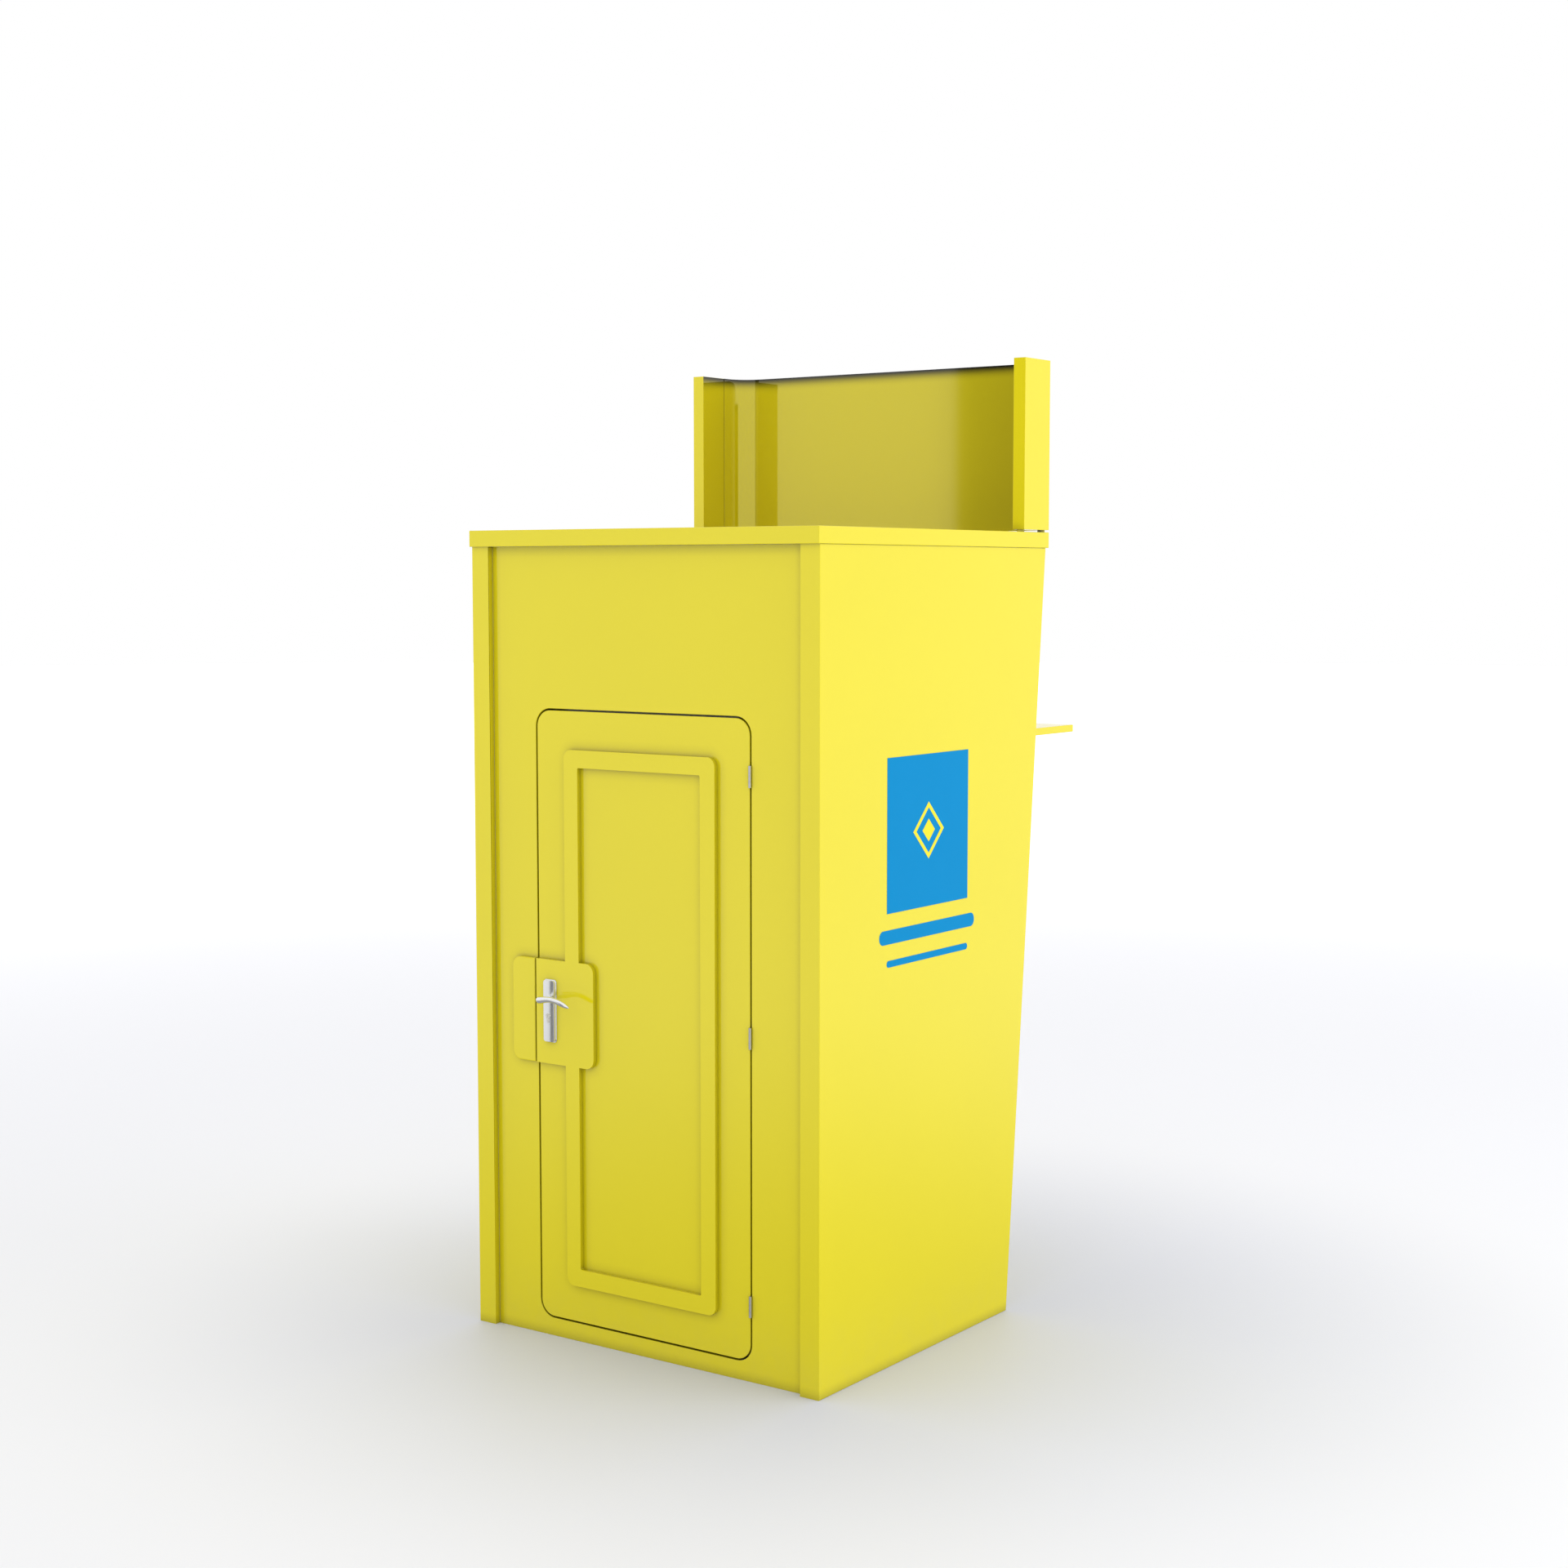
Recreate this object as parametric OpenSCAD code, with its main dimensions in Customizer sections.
// Walk-in street vending kiosk: a sheet-metal booth with a leaning customer front, a service
// window under a top-hung flap, a staff door at the back and an illuminated header sign.
// +Z is up, customers stand at -Y, the staff door is at +Y. The origin is on the ground, at the
// centre of the four floor anchors.

/* [Booth body] */
// Width over the two side panels
booth_w = 1310; // [1200:5:1600]
// Depth of the side panels at the ground
depth_bottom = 1062; // [950:2:1300]
// Depth of the side panels under the roof, which sets how far the front leans out
depth_top = 1277; // [1070:1:1500]
// Height of the walls, from the ground to the underside of the roof
wall_h = 2450; // [2250:5:2800]
// Thickness of a side panel
side_t = 67; // [50:1:90]
// Thickness of the rear and front walls
wall_t = 50; // [40:1:70]
// Thickness of the folded sheet that makes each panel's outer skin
skin_t = 2; // [1.5:0.5:3]
// Thickness of the boards that line the panels inside
lining_t = 6; // [4:1:9]
// How far the rear wall stands back from the edges of the side panels
rear_recess = 20; // [10:1:35]
// How far the front wall stands back from the edges of the side panels
front_recess = 20; // [14:1:35]

/* [Roof and header] */
// Thickness of the roof slab
roof_t = 50; // [40:1:80]
// Roof overhang behind the side panels
roof_over_rear = 9; // [0:1:40]
// Roof overhang past each side panel
roof_over_side = 3; // [0:1:30]
// Roof overhang past the top of the front edge
roof_over_front = 15; // [0:1:60]
// Thickness of the ceiling board
ceiling_t = 6; // [4:1:12]
// Gap between the roof and the header, bridged by the header's feet
header_gap = 7; // [4:1:20]
// Height of the header
header_h = 539; // [350:1:700]
// Depth of the header's two side fins
fin_d = 159; // [100:1:250]
// Thickness of a side fin
fin_t = 42.5; // [30:0.5:60]
// How far the header's back panel stands in front of the side fins
header_bow = 61; // [0:1:64]
// Radius of the round corners between the back panel and the fins
header_corner_r = 75; // [66:1:90]
// Thickness of the light box on the front of the back panel
header_box_t = 25; // [20:1:60]
// Thickness of the header's front face sheet
header_face_t = 4; // [3:1:6]

/* [Staff door] */
// Width of the door leaf
door_w = 807; // [700:1:850]
// Height of the door leaf
door_h = 1890; // [1750:5:2100]
// Thickness of the door leaf
door_t = 45; // [38:1:48]
// Gap around the door leaf
door_gap = 6; // [5:0.5:8]
// How far the door sits off the booth's centre, towards the lock side
door_off = 7; // [-20:1:40]
// Height of the doorway's lower edge above the ground
sill_h = 56; // [50:1:120]
// Corner radius of the door leaf
door_r = 50; // [20:1:90]
// Thickness of the board on the inside of the door
door_lining_t = 3; // [2:0.5:5]

/* [Door trim] */
// From the edge of the door leaf to the raised moulding
ring_inset = 116.5; // [90:0.5:150]
// Width of the raised moulding
ring_w = 54; // [30:1:80]
// Outer corner radius of the raised moulding
ring_r = 28; // [10:1:40]
// Height of the moulding and the lock pads above the door
trim_h = 15; // [8:1:20]
// Height of the lock pads
pad_h = 324; // [260:2:400]
// Corner radius of the lock pads
pad_r = 30; // [10:1:40]
// Length of the lock pad on the door, from the edge of the leaf
pad_door = 227.5; // [130:0.5:260]
// Length of the lock pad on the wall, from the edge of the doorway
pad_wall = 91; // [70:1:120]
// Height of the centre of the lock pads
pad_z = 1024; // [950:1:1100]

/* [Lock and handles] */
// From the edge of the door leaf to the spindle
backset = 58; // [50:1:70]
// Width of a handle plate
plate_w = 49; // [40:1:60]
// Height of a handle plate
plate_h = 195; // [180:1:240]
// Thickness of a handle plate at its centre line
plate_t = 12; // [10:1:14]
// How far a handle plate's face falls away towards its long edges
plate_crown = 6; // [2:0.5:8]
// Height of the handle plates' centre above the centre of the lock pads
plate_up = 4; // [-10:1:10]
// Height of the lever spindle above the centre of the handle plate
spindle_up = 41; // [30:1:50]
// From the spindle down to the centre of the lock cylinder
spindle_to_key = 56; // [50:1:72]
// From the spindle to the tip of a lever
lever_l = 123; // [90:1:130]
// Diameter of a lever's neck
lever_d = 20; // [16:1:22]
// How far a lever's arch rises above its neck
lever_arch = 7; // [3:0.5:12]
// How far a lever's tip droops below its neck
lever_droop = 11; // [4:0.5:16]
// From the handle plate to the centre of a lever bar
lever_out = 50; // [40:1:58]
// Thickness of the lock case
case_t = 16; // [12:1:20]
// Height of the lock case
case_h = 165; // [150:1:180]
// Depth of the lock case
case_d = 86; // [80:1:95]
// Height of the lock's face plate and of the strike plate
face_h = 235; // [200:1:250]
// Width of the lock's face plate and of the strike plate
face_w = 22; // [20:1:26]
// Thickness of the lock's face plate and of the strike plate
face_t = 2; // [1.5:0.5:2.5]
// How far the latch stands out of the face plate
latch_out = 10; // [8:0.5:12]
// How far the dead bolt is thrown by the key
dead_throw = 14; // [10:1:18]

/* [Door hinges] */
// Length of a hinge
hinge_l = 62; // [50:1:100]
// Diameter of a hinge knuckle
knuckle_d = 9; // [8:0.5:10]
// Diameter of a hinge pin
hinge_pin_d = 5; // [4:0.5:6]
// Thickness of a hinge leaf
hinge_leaf_t = 2.5; // [1.5:0.1:2.6]
// Depth of a hinge leaf into the gap
hinge_leaf_d = 32; // [22:1:38]
// Height of the lowest hinge
hinge_z_low = 226; // [180:1:320]
// Height of the middle hinge
hinge_z_mid = 1022; // [900:1:1150]
// Height of the highest hinge
hinge_z_high = 1784; // [1600:1:1880]

/* [Service window] */
// Width of the window opening
window_w = 760; // [600:5:800]
// Height of the window opening, measured along the front wall
window_h = 620; // [450:5:640]
// Thickness of the window liner
liner_t = 3; // [2:0.5:4]
// Width of the window liner's flanges
flange_w = 22; // [15:1:24]

/* [Flap] */
// Width of the flap
flap_w = 810; // [790:1:1000]
// Length of the flap, from hinge end to free edge
flap_l = 719; // [700:1:800]
// Thickness of the flap
flap_t = 25; // [20:1:40]
// Height of the flap's hinge axis
flap_z = 1815.5; // [1780:0.5:1950]
// Radius of the flap hinge's knuckles
flap_knuckle_r = 4; // [3:0.5:5]
// Radius of the flap hinge's pin
flap_pin_r = 2; // [1.5:0.25:2.5]
// Thickness of the flap hinge's two leaves
flap_leaf_t = 2; // [1.5:0.25:2.25]
// Height of the flap hinge's two leaves
flap_leaf_h = 30; // [20:1:32]
// From the flap's hinge axis to a stay's pivot
stay_pivot_l = 220; // [180:5:260]
// From the flap's hinge axis down the wall to a stay's rest
stay_rest_l = 300; // [260:5:340]
// Thickness of a stay arm
stay_t = 5; // [4:1:8]
// Height of a stay arm
stay_h = 18; // [14:1:24]
// From the flap's hinge axis to the flap's bolt
flap_bolt_l = 640; // [580:5:650]
// Radius of the flap's bolt
flap_bolt_r = 6; // [4:0.5:8]
// How far the flap's bolt slides
flap_bolt_throw = 18; // [14:1:24]

/* [Inside] */
// Height of the counter's top surface
counter_z = 1128; // [1000:1:1130]
// Thickness of the counter
counter_t = 28; // [18:1:40]
// Depth of the counter
counter_d = 400; // [340:5:450]
// Leg length of the angle cleats that carry the counter
cleat_leg = 30; // [20:1:40]
// Width of the cash drawer
drawer_w = 420; // [300:5:600]
// Depth of the cash drawer
drawer_d = 330; // [260:5:360]
// Height of the cash drawer
drawer_h = 100; // [70:5:160]
// Wall thickness of the cash drawer
drawer_wall = 6; // [4:1:10]
// How far the cash drawer slides out
drawer_travel = 250; // [180:5:260]
// Length of the ceiling lamp
lamp_l = 600; // [400:10:900]
// Width of the ceiling lamp
lamp_w = 60; // [50:1:100]
// Height of the ceiling lamp's housing
lamp_h = 26; // [20:1:40]

/* [Base] */
// Height and width of the base frame's steel rails
rail = 40; // [30:5:48]
// Thickness of the floor deck
deck_t = 18; // [12:1:24]
// Distance between the floor anchors across the booth
anchor_x = 996; // [800:1:1200]
// Distance between the floor anchors from front to back
anchor_y = 740; // [600:1:900]
// Radius of an anchor hole
anchor_r = 7; // [5:0.5:9]
// Width of a square anchor plate
anchor_plate = 100; // [80:1:120]
// Thickness of an anchor plate
anchor_t = 8; // [6:1:12]

/* [Side graphic] */
// Width of the graphic on each side panel
graphic_w = 455; // [300:5:600]
// Height of the graphic
graphic_h = 460; // [300:5:600]
// Height of the graphic's lower edge
graphic_z = 1369.5; // [1200:0.5:1500]
// Distance of the graphic's centre from the origin towards the front
graphic_y = 44.5; // [-100:0.5:150]
// Thickness of the printed film
film_t = 0.8; // [0.5:0.1:2]

/* [Hidden] */
$fn = 48;

// Fits
seat = 0.3;          // pieces that seat on each other without touching
run = 0.05;          // radial running clearance of a pin in its bore
eps = 0.01;          // overshoot of a cut past a face

// Levels and planes of the booth
lean = atan((depth_top - depth_bottom) / wall_h);
y_edge = depth_bottom / 2;
in_w = booth_w - 2 * side_t;
wall_y = y_edge - rear_recess;
wall_in_y = wall_y - wall_t;
roof_front_y = -depth_bottom / 2 - (depth_top - depth_bottom) - roof_over_front;
roof_rear_y = y_edge + roof_over_rear;
roof_w = booth_w + 2 * roof_over_side;
roof_z = wall_h + roof_t;
header_z = roof_z + header_gap;

// World Y of a point on the sloping front, from its depth behind the front edge and its height
function front_y(depth, z) = -depth_bottom / 2 - z * tan(lean) + depth / cos(lean);

// Door and doorway
open_w = door_w + 2 * door_gap;
open_h = door_h + 2 * door_gap;
door_mid_z = sill_h + open_h / 2;
open_r = door_r + door_gap;
lock_x = door_off + door_w / 2;
jamb_x = lock_x + door_gap;
hinge_x = door_off - door_w / 2 - door_gap / 2;
hinge_y = wall_y + knuckle_d / 2 - 0.5;
door_in_y = wall_y - door_t;
door_mid_y = wall_y - door_t / 2;
trim_y = wall_y + trim_h;
stop_lap = 18;                 // how far the door frame reaches in front of the leaf's edge
stop_back = 40;                // how far it reaches behind the wall
stop_d = 40;                   // its depth into the cabin
spindle_x = lock_x - backset;
plate_z = pad_z + plate_up;
spindle_z = plate_z + spindle_up;
key_z = spindle_z - spindle_to_key;
case_z = (spindle_z + key_z) / 2;
spindle_a = 8;                 // side of the square spindle
cyl_r = 8.5;                   // round part of the lock cylinder
cyl_w = 10;                    // width of its lower part
cyl_drop = 21;                 // from its centre to its lower end
plug_r = 6.4;
latch_t = 11;
latch_h = 20;
bolt_in = 38;                  // length of latch and dead bolt behind the face plate
screw_r = 2.5;
screw_up = plate_h / 2 - 14;   // from the centre of a handle plate to each screw
hinge_zs = [hinge_z_low, hinge_z_mid, hinge_z_high];

// Sloping front: heights along it are measured from the ground along the front edge
flap_axis_in = 4.5;            // from the flap's hinge axis to the front wall
flap_rise = 0.5;               // from the flap's hinge axis up to the open flap's underside
flap_end_gap = flap_knuckle_r + 1;  // from the flap's hinge axis to the flap's end
axis_depth = front_recess - flap_axis_in;
axis_s = (flap_z - axis_depth * sin(lean)) / cos(lean);
axis_y = front_y(0, 0) + axis_depth * cos(lean) - axis_s * sin(lean);
front_in = front_recess + wall_t;
front_s_low = -front_recess * tan(lean);
front_s_high = (wall_h - front_in * sin(lean)) / cos(lean);
window_top_s = axis_s - flap_leaf_h - flap_knuckle_r - flange_w - 6;
window_mid_s = window_top_s - window_h / 2;
stay_x = window_w / 2 - liner_t - 17;
stay_drop = 12;                // from the flap's underside to the stay's centre line
rest_depth = 32;               // depth of the stay's end behind the wall's outer face
// Ends of the open stay, as [y, z] from the flap's hinge axis
stay_a = [-stay_pivot_l, flap_rise - stay_drop];
stay_b = [stay_rest_l * sin(lean) + (rest_depth + flap_axis_in) * cos(lean),
    -stay_rest_l * cos(lean) + (rest_depth + flap_axis_in) * sin(lean)];
stay_l = norm(stay_b - stay_a);
stay_angle = atan2(stay_b[1] - stay_a[1], stay_b[0] - stay_a[0]);
stay_pin_r = 4;
bolt_drop = 14;                // from the flap's underside to its bolt's centre line
bolt_len = 110;
bolt_gap = 5;                  // from the drawn-back bolt to the window liner
bolt_tip_x = window_w / 2 - liner_t - bolt_gap;
knob_r = 4;                    // finger knob of the flap's bolt
knob_x = bolt_tip_x - bolt_len + 12;
flap_segments = 5;             // knuckles along the flap's hinge

// Inside
counter_y = front_y(front_in + liner_t, counter_z - counter_t) + seat;
drawer_y = counter_y + counter_d - drawer_d - 12;
drawer_z = counter_z - counter_t - drawer_h - 3;
runner_t = 2.5;
runner_lip = 14;
lamp_y = -120;                 // centre of the ceiling lamp, over the counter's edge
diffuser_h = 14;

// Header feet: under each fin at two places
foot_r = 12;
foot_bolt_r = 3;
foot_bolt_up = 20;             // how far a bolt reaches into the header
foot_in = 14;                  // from a fin's rear and front edges to its feet
fin_x = roof_w / 2 - fin_t / 2;
fin_front_y = roof_front_y + 1;
feet = [for (side = [-1, 1], d = [foot_in, fin_d - foot_in])
    [side * fin_x, fin_front_y + d]];
header_w = roof_w - 2 * fin_t;                // clear width between the fins
header_back_y = fin_front_y - header_bow;     // rear face of the back panel
header_lap = 26;                              // straight flange that laps onto a fin
sign_w = roof_w - 2 * header_corner_r;

yellow = [0.93, 0.85, 0.16];
steel = [0.78, 0.79, 0.8];
grey = [0.55, 0.56, 0.57];

// ---------- shared shapes ----------

// Rectangle with round corners, centred
module rounded_rect(w, h, r) {
    square([w - 2 * r, h], center = true);
    square([w, h - 2 * r], center = true);
    for (x = [-1, 1], y = [-1, 1])
        translate([x * (w / 2 - r), y * (h / 2 - r)]) circle(r);
}

// Stands a flat X-Z outline up and gives it a thickness from plane y towards -Y
module upright(y, t) {
    translate([0, y, 0]) rotate([90, 0, 0]) linear_extrude(t) children();
}

// Stands a flat Y-Z outline up and gives it a thickness from plane x towards +X
module sideways(x, t) {
    translate([x, 0, 0]) rotate([90, 0, 90]) linear_extrude(t) children();
}

// Places its children in the sloping front's own frame: X across, Y inwards, Z up the slope
module on_slope() {
    translate([0, -depth_bottom / 2, 0]) rotate([lean, 0, 0]) children();
}

// Places its children at the flap's hinge axis, with the open flap reaching towards -Y
module at_flap() {
    translate([0, axis_y, flap_z]) children();
}

// Cylinder along X, centred on the origin
module rod_x(r, l) { rotate([0, 90, 0]) cylinder(r = r, h = l, center = true); }

// Cylinder along Y, from plane y0 to plane y1
module rod_y(r, x, z, y0, y1) {
    translate([x, y1, z]) rotate([90, 0, 0]) cylinder(r = r, h = y1 - y0);
}

// ---------- base ----------

module base_frame() {
    x1 = in_w / 2 - seat;
    y0 = front_y(front_in, 0) + seat;
    y1 = wall_in_y - seat;
    color(grey) difference() {
        union() {
            difference() {
                translate([-x1, y0, 0]) cube([2 * x1, y1 - y0, rail]);
                for (side = [-1, 1])
                    translate([side > 0 ? rail / 2 : -x1 + rail, y0 + rail, -eps])
                        cube([x1 - 1.5 * rail, y1 - y0 - 2 * rail, rail + 2 * eps]);
            }
            for (x = [-1, 1], y = [-1, 1])
                translate([x * anchor_x / 2, y * anchor_y / 2, anchor_t / 2])
                    cube([anchor_plate + 2, anchor_plate + 2, anchor_t], center = true);
        }
        for (x = [-1, 1], y = [-1, 1])
            translate([x * anchor_x / 2, y * anchor_y / 2, -eps])
                cylinder(r = anchor_r, h = anchor_t + 2 * eps);
    }
}

module floor_deck() {
    x1 = in_w / 2 - seat;
    y0 = front_y(front_in, rail) + seat;
    access_r = 22;
    color([0.45, 0.43, 0.4]) difference() {
        translate([-x1, y0, rail]) cube([2 * x1, wall_in_y - seat - y0, deck_t]);
        for (x = [-1, 1], y = [-1, 1])
            translate([x * anchor_x / 2, y * anchor_y / 2, rail - 1])
                cylinder(r = access_r, h = deck_t + 2);
    }
}

// ---------- side panels ----------

// Y-Z outline of a side panel, drawn in by a distance all round
module side_outline(inset) {
    low = inset;
    high = wall_h - inset;
    polygon([[y_edge - inset, low], [y_edge - inset, high],
        [front_y(inset, high), high], [front_y(inset, low), low]]);
}

// side is -1 for the left panel and 1 for the right one
module side_skin(side) {
    color(yellow) mirror([side < 0 ? 1 : 0, 0, 0]) difference() {
        sideways(in_w / 2, side_t) side_outline(0);
        sideways(in_w / 2 - eps, side_t - skin_t) side_outline(skin_t);
    }
}

module side_lining(side) {
    color([0.86, 0.86, 0.84]) mirror([side < 0 ? 1 : 0, 0, 0])
        sideways(in_w / 2, lining_t) side_outline(skin_t + seat);
}

// Printed film on the outside of a side panel
module side_graphic(side) {
    color([0.1, 0.55, 0.82]) mirror([side < 0 ? 1 : 0, 0, 0])
        sideways(booth_w / 2, film_t)
            translate([-graphic_y, graphic_z + graphic_h / 2])
                square([graphic_w, graphic_h], center = true);
}

// ---------- rear wall and doorway ----------

module rear_outline(inset) {
    difference() {
        translate([-in_w / 2 + inset, inset]) square([in_w - 2 * inset, wall_h - 2 * inset]);
        translate([door_off, door_mid_z])
            rounded_rect(open_w + 2 * inset, open_h + 2 * inset, open_r + inset);
    }
}

// Cuts in the doorway's edge behind the strike plate's two openings
module strike_cuts(grow, x0, x1) {
    for (z = [spindle_z, key_z])
        translate([x0, door_mid_y - latch_t / 2 - grow, z - latch_h / 2 - grow])
            cube([x1 - x0, latch_t + 2 * grow, latch_h + 2 * grow]);
}

module rear_wall_skin() {
    color(yellow) difference() {
        upright(wall_y, wall_t) rear_outline(0);
        upright(wall_y - skin_t, wall_t) rear_outline(skin_t);
        strike_cuts(3, jamb_x - 1, jamb_x + skin_t + 1);
    }
}

module rear_wall_lining() {
    color([0.86, 0.86, 0.84]) upright(wall_in_y + lining_t, lining_t)
        rear_outline(skin_t + seat);
}

// Outline of the frame around the doorway: it stands on the deck and laps in front of the leaf
module frame_outline(lap) {
    floor_z = rail + deck_t;
    difference() {
        intersection() {
            translate([door_off, door_mid_z])
                rounded_rect(open_w + 2 * stop_back, open_h + 2 * stop_back, open_r);
            translate([-in_w, floor_z]) square([2 * in_w, wall_h]);
        }
        translate([door_off, door_mid_z])
            rounded_rect(open_w - 2 * lap, open_h - 2 * lap, max(open_r - lap, 4));
    }
}

module door_frame() {
    color(yellow) upright(wall_in_y, stop_d) frame_outline(stop_lap);
}

module door_seal() {
    width = 10;
    color([0.08, 0.08, 0.08])
        upright(door_in_y - seat, door_in_y - wall_in_y - seat) difference() {
            translate([door_off, door_mid_z])
                rounded_rect(open_w - 2 * (stop_lap - width), open_h - 2 * (stop_lap - width),
                    open_r - stop_lap + width);
            translate([door_off, door_mid_z])
                rounded_rect(open_w - 2 * stop_lap, open_h - 2 * stop_lap,
                    max(open_r - stop_lap, 4));
        }
}

// ---------- lock pads, moulding ----------

// Outline of the two pads together, before the door's gap parts them
module pad_outline() {
    translate([(lock_x - pad_door + jamb_x + pad_wall) / 2, pad_z])
        rounded_rect(pad_door + pad_wall + door_gap, pad_h, pad_r);
}

module wall_lock_pad() {
    color(yellow) upright(trim_y, trim_h) intersection() {
        pad_outline();
        translate([jamb_x, 0]) square([pad_wall + 1, wall_h]);
    }
}

module door_lock_pad() {
    color(yellow) difference() {
        upright(trim_y, trim_h) intersection() {
            pad_outline();
            translate([lock_x - pad_door - 1, 0]) square([pad_door + 1, wall_h]);
        }
        lock_bores(trim_y + 1, wall_y - 1);
    }
}

module door_moulding() {
    ring_z = door_mid_z;
    w = door_w - 2 * ring_inset;
    h = door_h - 2 * ring_inset;
    inner_r = 5;
    color(yellow) upright(trim_y, trim_h) difference() {
        translate([door_off, ring_z]) rounded_rect(w, h, ring_r);
        translate([door_off, ring_z]) rounded_rect(w - 2 * ring_w, h - 2 * ring_w, inner_r);
        pad_outline();
    }
}

// ---------- door leaf ----------

module leaf_outline(inset) {
    translate([door_off, door_mid_z])
        rounded_rect(door_w - 2 * inset, door_h - 2 * inset, door_r - inset);
}

// Holes through the door for the spindle, the lock cylinder and the plate screws
module lock_bores(y1, y0) {
    rod_y(spindle_a * 0.8, spindle_x, spindle_z, y0, y1);
    cylinder_shape(seat, y0, y1);
    for (up = [-screw_up, screw_up])
        rod_y(screw_r + seat, spindle_x, plate_z + up, y0, y1);
}

module door_skin() {
    color(yellow) difference() {
        upright(wall_y, door_t) leaf_outline(0);
        upright(wall_y - skin_t, door_t) leaf_outline(skin_t);
        lock_bores(wall_y + 1, wall_y - skin_t - 1);
        translate([lock_x - skin_t - 1, door_mid_y - case_t / 2 - seat, case_z - case_h / 2 - seat])
            cube([skin_t + 2, case_t + 2 * seat, case_h + 2 * seat]);
    }
}

module door_lining() {
    color([0.86, 0.86, 0.84]) difference() {
        upright(door_in_y + door_lining_t, door_lining_t) leaf_outline(skin_t + seat);
        lock_bores(door_in_y + door_lining_t + 1, door_in_y - 1);
    }
}

// ---------- lock ----------

// Profile cylinder: a round barrel over a narrower web
module cylinder_shape(grow, y0, y1) {
    rod_y(cyl_r + grow, spindle_x, key_z, y0, y1);
    translate([spindle_x - cyl_w / 2 - grow, y0, key_z - cyl_drop + cyl_w / 2])
        cube([cyl_w + 2 * grow, y1 - y0, cyl_drop - cyl_w / 2]);
    rod_y(cyl_w / 2 + grow, spindle_x, key_z - cyl_drop + cyl_w / 2, y0, y1);
}

// Channel of the latch or the dead bolt through the lock
module bolt_channel(z, grow) {
    translate([lock_x - bolt_in - latch_out - 1, door_mid_y - latch_t / 2 - grow,
        z - latch_h / 2 - grow])
        cube([bolt_in + latch_out + 1 + face_t + 1, latch_t + 2 * grow, latch_h + 2 * grow]);
}

module lock_case() {
    color(grey) difference() {
        translate([lock_x - case_d, door_mid_y - case_t / 2, case_z - case_h / 2])
            cube([case_d, case_t, case_h]);
        lock_bores(door_mid_y + case_t, door_mid_y - case_t);
        bolt_channel(spindle_z, seat);
        bolt_channel(key_z, seat);
    }
}

module lock_face_plate() {
    color(steel) difference() {
        translate([lock_x, door_mid_y - face_w / 2, case_z - face_h / 2])
            cube([face_t, face_w, face_h]);
        bolt_channel(spindle_z, seat);
        bolt_channel(key_z, seat);
    }
}

module strike_plate() {
    color(steel) difference() {
        translate([jamb_x - face_t, door_mid_y - face_w / 2, case_z - face_h / 2])
            cube([face_t, face_w, face_h]);
        strike_cuts(2, jamb_x - face_t - 1, jamb_x + 1);
    }
}

module latch_bolt() {
    bevel = 8;
    x1 = lock_x + face_t + latch_out;
    color(steel) translate([0, door_mid_y - latch_t / 2, spindle_z - latch_h / 2])
        linear_extrude(latch_h) polygon([[lock_x - bolt_in, 0], [lock_x - bolt_in, latch_t],
            [x1, latch_t], [x1, latch_t - 2], [x1 - bevel, 0]]);
}

module dead_bolt() {
    color(steel) translate([lock_x - bolt_in, door_mid_y - latch_t / 2, key_z - latch_h / 2])
        cube([bolt_in + face_t, latch_t, latch_h]);
}

module lock_cylinder() {
    color([0.72, 0.66, 0.45]) difference() {
        cylinder_shape(0, door_in_y - plate_t - 2, trim_y + plate_t + 2);
        rod_y(plug_r + run, spindle_x, key_z, door_in_y - plate_t - 3, trim_y + plate_t + 3);
    }
}

// The plug has a keyway outside and a thumb turn inside
module cylinder_plug() {
    y0 = door_in_y - plate_t - 2;
    y1 = trim_y + plate_t + 2;
    turn_d = 16;
    color(steel) difference() {
        union() {
            rod_y(plug_r, spindle_x, key_z, y0 - turn_d, y1);
            rod_y(cyl_r, spindle_x, key_z, y0 - 4, y0 - seat);
            translate([spindle_x - 14, y0 - turn_d, key_z - 3]) cube([28, turn_d - 5, 6]);
        }
        translate([spindle_x - 1, y1 - 12, key_z - 5]) cube([2, 13, 9]);
    }
}

// Handle plate with rounded corners and a crowned face. It stands on the plane y and
// reaches outwards when out is 1, inwards when out is -1
module handle_plate(y, out) {
    corner = 10;
    crown_r = (plate_w * plate_w / 4 + plate_crown * plate_crown) / (2 * plate_crown);
    color(steel) difference() {
        translate([0, y, 0]) mirror([0, out < 0 ? 1 : 0, 0]) intersection() {
            upright(plate_t, plate_t)
                translate([spindle_x, plate_z]) rounded_rect(plate_w, plate_h, corner);
            translate([spindle_x, plate_t - crown_r, plate_z - plate_h])
                cylinder(r = crown_r, h = 2 * plate_h, $fn = 96);
        }
        lock_bores(y + plate_t + 1, y - plate_t - 1);
    }
}

module outer_handle_plate() { handle_plate(trim_y, 1); }
module inner_handle_plate() { handle_plate(door_in_y, -1); }

// Two through screws with a low head on each side
module handle_plate_screws() {
    head_r = 4.5;
    head_t = 2;
    y0 = door_in_y - plate_t;
    y1 = trim_y + plate_t;
    color(steel) for (up = [-screw_up, screw_up]) {
        rod_y(screw_r, spindle_x, plate_z + up, y0 - head_t, y1 + head_t);
        rod_y(head_r, spindle_x, plate_z + up, y1, y1 + head_t);
        rod_y(head_r, spindle_x, plate_z + up, y0 - head_t, y0);
    }
}

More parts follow.
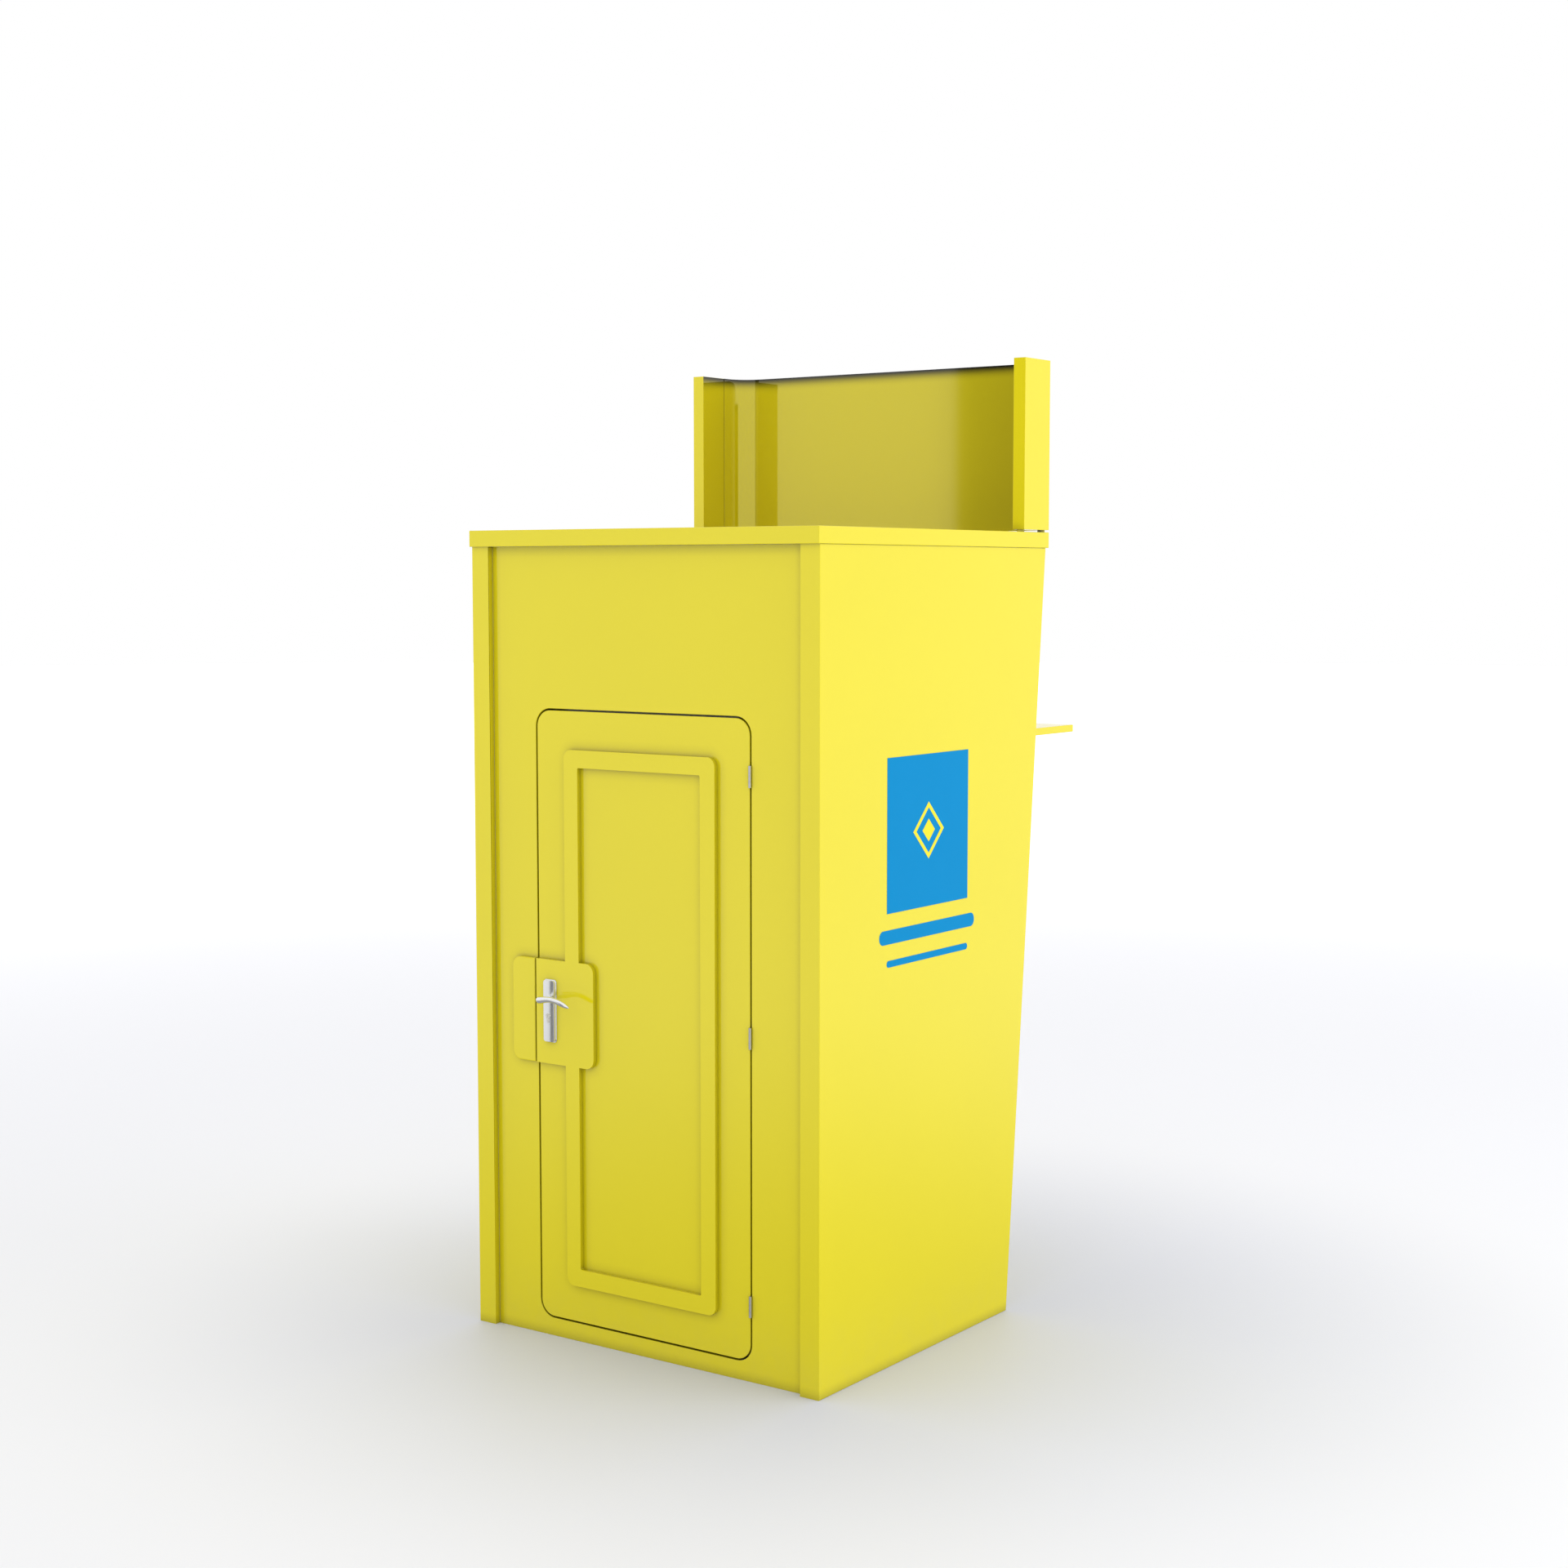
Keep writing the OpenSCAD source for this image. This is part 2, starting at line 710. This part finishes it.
// Stations of a lever's bar from its neck to its tip, as [distance, rise, diameter]
lever_stations = [[0, 0, lever_d], [lever_l * 0.38, lever_arch, lever_d * 0.62],
    [lever_l * 0.66, lever_arch * 0.4, lever_d * 0.68], [lever_l - 2, -lever_droop, 5]];

// Lever with a round neck and an arched bar that tapers to its tip. out is 1 outside, -1 inside
module lever(y, out) {
    color(steel) translate([spindle_x, y, spindle_z]) mirror([0, out < 0 ? 1 : 0, 0]) {
        difference() {
            translate([0, lever_out, 0]) rotate([90, 0, 0])
                cylinder(d = lever_d, h = lever_out - seat);
            translate([-spindle_a / 2 - seat, -1, -spindle_a / 2 - seat])
                cube([spindle_a + 2 * seat, lever_out - 12, spindle_a + 2 * seat]);
        }
        for (i = [0 : len(lever_stations) - 2]) hull() for (s = [lever_stations[i],
                lever_stations[i + 1]])
            translate([-s[0], lever_out, s[1]]) sphere(d = s[2], $fn = 28);
    }
}

module outer_lever() { lever(trim_y + plate_t, 1); }
module inner_lever() { lever(door_in_y - plate_t, -1); }

module lever_spindle() {
    grip = lever_out - 14;
    y0 = door_in_y - plate_t - grip;
    y1 = trim_y + plate_t + grip;
    color(grey) translate([spindle_x - spindle_a / 2, y0, spindle_z - spindle_a / 2])
        cube([spindle_a, y1 - y0, spindle_a]);
}

// ---------- door hinges ----------

hinge_joint = 0.3;                            // gap between two knuckles of one hinge
hinge_mid_l = hinge_l * 0.4;                  // length of the door leaf's knuckle
hinge_end_l = (hinge_l - hinge_mid_l) / 2 - hinge_joint;

// One knuckle, bored for the pin, with the strip that joins it to its leaf at x
module hinge_knuckle(z0, l, x) {
    difference() {
        union() {
            translate([hinge_x, hinge_y, z0]) cylinder(d = knuckle_d, h = l);
            translate([x, hinge_y - knuckle_d / 2 - 1, z0])
                cube([hinge_leaf_t, knuckle_d / 2 + 1, l]);
        }
        translate([hinge_x, hinge_y, z0 - 1]) cylinder(d = hinge_pin_d + 2 * run, h = l + 2);
    }
}

// Flat leaf inside the door's gap, its face on the edge at x
module hinge_plate(z, x) {
    translate([x, hinge_y - knuckle_d / 2 - 0.5 - hinge_leaf_d, z - hinge_l / 2])
        cube([hinge_leaf_t, hinge_leaf_d, hinge_l]);
}

module hinge_wall_leaves() {
    x = hinge_x - door_gap / 2;
    color(steel) for (z = hinge_zs) {
        hinge_plate(z, x);
        hinge_knuckle(z - hinge_l / 2, hinge_end_l, x);
        hinge_knuckle(z + hinge_l / 2 - hinge_end_l, hinge_end_l, x);
    }
}

module hinge_door_leaves() {
    x = hinge_x + door_gap / 2 - hinge_leaf_t;
    color(steel) for (z = hinge_zs) {
        hinge_plate(z, x);
        hinge_knuckle(z - hinge_mid_l / 2, hinge_mid_l, x);
    }
}

module hinge_pins() {
    cap = 1.5;
    color(steel) for (z = hinge_zs) translate([hinge_x, hinge_y, z]) {
        translate([0, 0, -hinge_l / 2]) cylinder(d = hinge_pin_d, h = hinge_l + cap);
        translate([0, 0, hinge_l / 2]) cylinder(d = knuckle_d, h = cap);
    }
}

// ---------- front wall and window ----------

module front_outline(inset) {
    difference() {
        translate([-in_w / 2 + seat + inset, front_s_low + inset])
            square([in_w - 2 * seat - 2 * inset, front_s_high - front_s_low - 2 * inset]);
        translate([0, window_mid_s])
            square([window_w + 2 * inset, window_h + 2 * inset], center = true);
    }
}

// Gives an outline on the sloping front a thickness, from a depth behind the front edge
module slope_plate(depth, t) {
    on_slope() translate([0, depth + t, 0]) rotate([90, 0, 0]) linear_extrude(t) children();
}

module front_wall_skin() {
    color(yellow) difference() {
        slope_plate(front_recess, wall_t) front_outline(0);
        slope_plate(front_recess + skin_t, wall_t) front_outline(skin_t);
        flap_bolt_hole();
    }
}

module front_wall_lining() {
    color([0.86, 0.86, 0.84]) slope_plate(front_in - lining_t, lining_t)
        front_outline(skin_t + seat);
}

// Hole in the window's edge for the closed flap's bolt
module flap_bolt_hole() {
    on_slope() translate([window_w / 2, axis_depth + bolt_drop - flap_rise, axis_s - flap_bolt_l])
        rod_x(flap_bolt_r + 2, 4 * skin_t + 2);
}

// Liner through the wall with a flange on each face
module window_liner() {
    color(steel) difference() {
        union() {
            slope_plate(front_recess - liner_t, wall_t + 2 * liner_t)
                translate([0, window_mid_s]) square([window_w, window_h], center = true);
            for (depth = [front_recess - liner_t, front_in])
                slope_plate(depth, liner_t) translate([0, window_mid_s])
                    square([window_w + 2 * flange_w, window_h + 2 * flange_w], center = true);
        }
        slope_plate(front_recess - liner_t - 1, wall_t + 2 * liner_t + 2)
            translate([0, window_mid_s])
                square([window_w - 2 * liner_t, window_h - 2 * liner_t], center = true);
        flap_bolt_hole();
    }
}

// Blocks on the window liner's sides that the open stays lean on
module stay_rests() {
    block_h = 40;
    block_d = 16;
    inner_x = stay_x - stay_t / 2 - 3;
    color(steel) for (side = [-1, 1]) on_slope()
        translate([side > 0 ? inner_x : -(window_w / 2 - liner_t),
            front_recess + rest_depth - block_d / 2, axis_s - stay_rest_l - block_h / 2])
            cube([window_w / 2 - liner_t - inner_x, block_d, block_h]);
}

// ---------- flap ----------

flap_seg_l = (flap_w - 40) / flap_segments;

// Every other knuckle of the flap's hinge, starting from the first (0) or the second (1),
// each with the strip that joins it to its leaf
module flap_knuckles(first, wall) {
    for (i = [first : 2 : flap_segments - 1])
        translate([(i - (flap_segments - 1) / 2) * flap_seg_l, 0, 0]) {
            l = flap_seg_l - 2 * seat;
            rod_x(flap_knuckle_r, l);
            if (wall)
                translate([-l / 2, flap_axis_in - flap_leaf_t, -flap_knuckle_r - 1])
                    cube([l, flap_leaf_t, flap_knuckle_r + 1]);
            else
                translate([-l / 2, -flap_knuckle_r - 1, flap_rise - flap_leaf_t])
                    cube([l, flap_knuckle_r + 1, flap_leaf_t]);
        }
}

module flap_pin_bore() { rod_x(flap_pin_r + run, flap_w); }

module flap_hinge_wall_leaf() {
    l = flap_segments * flap_seg_l;
    color(steel) difference() {
        at_flap() rotate([lean, 0, 0]) {
            flap_knuckles(0, true);
            translate([-l / 2, flap_axis_in - flap_leaf_t, -flap_knuckle_r - flap_leaf_h - 0.5])
                cube([l, flap_leaf_t, flap_leaf_h]);
        }
        at_flap() flap_pin_bore();
    }
}

module flap_hinge_flap_leaf() {
    l = flap_segments * flap_seg_l;
    color(steel) difference() {
        at_flap() {
            flap_knuckles(1, false);
            translate([-l / 2, -flap_knuckle_r - flap_leaf_h - 0.5, flap_rise - flap_leaf_t])
                cube([l, flap_leaf_h, flap_leaf_t]);
        }
        at_flap() flap_pin_bore();
    }
}

module flap_hinge_pin() {
    color(steel) at_flap() {
        rod_x(flap_pin_r, flap_segments * flap_seg_l + 4);
        for (side = [-1, 1])
            translate([side * (flap_segments * flap_seg_l / 2 + 1), 0, 0])
                rod_x(flap_knuckle_r - 0.5, 2);
    }
}

module flap_skin() {
    color(yellow) at_flap() difference() {
        translate([-flap_w / 2, -flap_end_gap - flap_l, flap_rise]) cube([flap_w, flap_l, flap_t]);
        translate([-flap_w / 2 + skin_t, -flap_end_gap - flap_l + skin_t, flap_rise - 1])
            cube([flap_w - 2 * skin_t, flap_l - 2 * skin_t, flap_t - skin_t + 1]);
    }
}

module flap_inner_sheet() {
    edge = skin_t + seat;
    color([0.86, 0.86, 0.84]) at_flap()
        translate([-flap_w / 2 + edge, -flap_end_gap - flap_l + edge, flap_rise])
            cube([flap_w - 2 * edge, flap_l - 2 * edge, 3]);
}

// Two blocks under the flap that the bolt slides through
module bolt_guides() {
    guide_t = 12;
    guide_w = 26;
    for (x = [bolt_tip_x - guide_t - 8, knob_x + flap_bolt_throw + knob_r + 4]) difference() {
        translate([x, -flap_bolt_l - guide_w / 2, flap_rise - bolt_drop - flap_bolt_r - 3])
            cube([guide_t, guide_w, bolt_drop + flap_bolt_r + 3]);
        translate([x + guide_t / 2, -flap_bolt_l, flap_rise - bolt_drop])
            rod_x(flap_bolt_r + run, guide_t + 2);
    }
}

// Each lug stands on the flap's underside beside its stay and holds the stay's pivot pin
module flap_fittings() {
    lug_t = 5;
    lug_l = 30;
    gap = 0.5;
    color(steel) at_flap() bolt_guides();
    color(steel) for (side = [-1, 1]) at_flap() {
        x0 = stay_x + stay_t / 2 + gap;
        mirror([side < 0 ? 1 : 0, 0, 0]) {
            translate([x0, stay_a[0] - lug_l / 2, stay_a[1] - stay_h / 2 + 4])
                cube([lug_t, lug_l, stay_drop + stay_h / 2 - 4]);
            translate([x0 - gap - stay_t / 2 - 0.5, stay_a[0], stay_a[1]])
                rod_x(stay_pin_r, stay_t + 2 * gap + 2);
            translate([x0 - 2 * gap - stay_t - 1, stay_a[0], stay_a[1]])
                rod_x(stay_pin_r + 3, 2);
        }
    }
}

// Flat arm from its pivot under the flap to its rest, its end cut parallel to the front wall
module stay(side) {
    color(steel) at_flap() difference() {
        translate([side * stay_x, stay_a[0], stay_a[1]]) rotate([stay_angle, 0, 0]) {
            translate([-stay_t / 2, 0, -stay_h / 2]) cube([stay_t, stay_l + stay_h, stay_h]);
            rod_x(stay_h / 2, stay_t);
        }
        translate([side * stay_x, stay_a[0], stay_a[1]])
            rod_x(stay_pin_r + run, stay_t + 2);
        rotate([lean, 0, 0])
            translate([side * stay_x - stay_t, flap_axis_in + rest_depth - 8 - seat, -2 * stay_l])
                cube([2 * stay_t, 100, 2 * stay_l]);
    }
}

// Bolt with a finger knob, carried in a guide on the flap's underside
module flap_bolt() {
    color(steel) at_flap() translate([0, -flap_bolt_l, flap_rise - bolt_drop]) {
        translate([bolt_tip_x - bolt_len / 2, 0, 0]) rod_x(flap_bolt_r, bolt_len);
        translate([knob_x, 0, -flap_bolt_r - 9]) cylinder(r = knob_r, h = 12);
    }
}

// ---------- roof and header ----------

module roof_outline(inset) {
    translate([-roof_w / 2 + inset, roof_front_y + inset])
        square([roof_w - 2 * inset, roof_rear_y - roof_front_y - 2 * inset]);
}

module roof_skin() {
    color(yellow) difference() {
        translate([0, 0, wall_h]) linear_extrude(roof_t) roof_outline(0);
        translate([0, 0, wall_h - eps]) linear_extrude(roof_t - skin_t + eps)
            roof_outline(skin_t);
        for (p = feet)
            translate([p[0], p[1], wall_h]) cylinder(r = foot_bolt_r + seat, h = roof_t + 1);
    }
}

module ceiling_panel() {
    color([0.86, 0.86, 0.84]) translate([0, 0, wall_h])
        linear_extrude(ceiling_t) roof_outline(skin_t + seat);
}

module header_fin(side) {
    color(yellow) difference() {
        translate([side * fin_x - fin_t / 2, fin_front_y, header_z])
            cube([fin_t, fin_d, header_h]);
        foot_bolt_holes();
    }
}

// Blind holes for the foot bolts in the header's underside
module foot_bolt_holes() {
    for (p = feet)
        translate([p[0], p[1], header_z - 1])
            cylinder(r = foot_bolt_r + run, h = foot_bolt_up + 1.5);
}

// Room between the fins, in plan: flat towards the customers and with round front corners
module header_bay(inset, d) {
    long = 600;
    intersection() {
        translate([0, header_back_y - skin_t + inset + long / 2])
            rounded_rect(header_w - 2 * inset, long, header_corner_r + skin_t - inset);
        translate([-header_w / 2, header_back_y - skin_t]) square([header_w, d]);
    }
}

// Back panel bent round to laps on the fins, with the light box on its front
module header_light_box() {
    lap_d = skin_t + header_corner_r + header_lap;
    color(yellow) translate([0, 0, header_z]) {
        linear_extrude(header_h) difference() {
            header_bay(0, lap_d);
            header_bay(skin_t, lap_d + 1);
        }
        translate([0, header_back_y - skin_t, 0]) difference() {
            translate([-sign_w / 2, -header_box_t, 0])
                cube([sign_w, header_box_t + eps, header_h]);
            translate([-sign_w / 2 + skin_t, -header_box_t - eps, skin_t])
                cube([sign_w - 2 * skin_t, header_box_t, header_h - 2 * skin_t]);
        }
    }
}

module header_face() {
    gap = skin_t + seat;
    color([0.95, 0.95, 0.93])
        translate([-sign_w / 2 + gap, header_back_y - skin_t - header_box_t, header_z + gap])
            cube([sign_w - 2 * gap, header_face_t, header_h - 2 * gap]);
}

module header_feet() {
    color([0.1, 0.1, 0.1]) for (p = feet) translate([p[0], p[1], roof_z]) difference() {
        cylinder(r = foot_r, h = header_gap);
        translate([0, 0, -1]) cylinder(r = foot_bolt_r + seat, h = header_gap + 2);
    }
}

module header_bolts() {
    head_h = 4;
    head_r = 6;
    z0 = roof_z - skin_t;
    color(steel) for (p = feet) translate([p[0], p[1], z0]) {
        cylinder(r = foot_bolt_r, h = skin_t + header_gap + foot_bolt_up);
        translate([0, 0, -head_h]) cylinder(r = head_r, h = head_h, $fn = 6);
    }
}

// ---------- inside ----------

module ceiling_lamp_housing() {
    color([0.9, 0.9, 0.9]) translate([-lamp_l / 2, lamp_y - lamp_w / 2, wall_h - lamp_h])
        cube([lamp_l, lamp_w, lamp_h]);
}

module ceiling_lamp_diffuser() {
    color([0.97, 0.97, 0.95]) translate([0, lamp_y, wall_h - lamp_h]) rotate([0, 90, 0])
        translate([0, 0, -lamp_l / 2 + 4]) linear_extrude(lamp_l - 8) intersection() {
            circle(lamp_w / 2 - 4);
            translate([0, -lamp_w]) square([diffuser_h, 2 * lamp_w]);
        }
}

module counter_top() {
    w = in_w - 2 * seat;
    color([0.62, 0.5, 0.36]) translate([-w / 2, counter_y, counter_z - counter_t])
        cube([w, counter_d, counter_t]);
}

// Steel angles on the side linings, under the counter's ends
module counter_cleats() {
    t = 3;
    z1 = counter_z - counter_t;
    color(grey) for (side = [-1, 1]) mirror([side < 0 ? 1 : 0, 0, 0]) {
        translate([in_w / 2 - t, counter_y + 10, z1 - cleat_leg])
            cube([t, counter_d - 20, cleat_leg]);
        translate([in_w / 2 - cleat_leg, counter_y + 10, z1 - t])
            cube([cleat_leg, counter_d - 20, t]);
    }
}

// Channels under the counter that carry the drawer's side lips
module drawer_runners() {
    z1 = counter_z - counter_t;
    x0 = drawer_w / 2 + seat;
    lip_z = drawer_z + drawer_h - drawer_wall - seat;
    color(grey) for (side = [-1, 1]) mirror([side < 0 ? 1 : 0, 0, 0]) {
        translate([x0, drawer_y, lip_z - runner_t])
            cube([runner_lip + runner_t, drawer_d - 30, runner_t]);
        translate([x0 + runner_lip, drawer_y, lip_z - runner_t])
            cube([runner_t, drawer_d - 30, z1 - lip_z + runner_t]);
    }
}

module cash_drawer() {
    lip = runner_lip - 2 * seat;
    pull_w = 90;
    color([0.3, 0.31, 0.33]) translate([0, drawer_y, drawer_z]) {
        difference() {
            translate([-drawer_w / 2, 0, 0]) cube([drawer_w, drawer_d, drawer_h]);
            translate([-drawer_w / 2 + drawer_wall, drawer_wall, drawer_wall])
                cube([drawer_w - 2 * drawer_wall, drawer_d - 2 * drawer_wall, drawer_h]);
        }
        for (side = [-1, 1]) mirror([side < 0 ? 1 : 0, 0, 0])
            translate([drawer_w / 2 - eps, 0, drawer_h - drawer_wall])
                cube([lip, drawer_d - 30, drawer_wall]);
        translate([-pull_w / 2, drawer_d - eps, drawer_h / 2]) cube([pull_w, 18, 8]);
    }
}

base_frame();
floor_deck();
side_skin(-1);  // side_skin_left
side_skin(1);  // side_skin_right
side_lining(-1);  // side_lining_left
side_lining(1);  // side_lining_right
rear_wall_skin();
rear_wall_lining();
door_frame();
door_seal();
front_wall_skin();
front_wall_lining();
window_liner();
roof_skin();
ceiling_panel();
header_fin(-1);  // header_fin_left
header_fin(1);  // header_fin_right
header_light_box();
header_face();
header_feet();
header_bolts();
side_graphic(-1);  // side_graphic_left
side_graphic(1);  // side_graphic_right
ceiling_lamp_housing();
ceiling_lamp_diffuser();
counter_top();
counter_cleats();
drawer_runners();
wall_lock_pad();
strike_plate();
hinge_wall_leaves();
hinge_pins();
stay_rests();
flap_hinge_wall_leaf();
flap_hinge_pin();
door_skin();
door_lining();
door_moulding();
door_lock_pad();
hinge_door_leaves();
outer_handle_plate();
inner_handle_plate();
handle_plate_screws();
lock_case();
lock_face_plate();
lock_cylinder();
cylinder_plug();
outer_lever();
inner_lever();
lever_spindle();
latch_bolt();
dead_bolt();
flap_skin();
flap_inner_sheet();
flap_hinge_flap_leaf();
flap_fittings();
stay(-1);  // stay_left
stay(1);  // stay_right
flap_bolt();
cash_drawer();
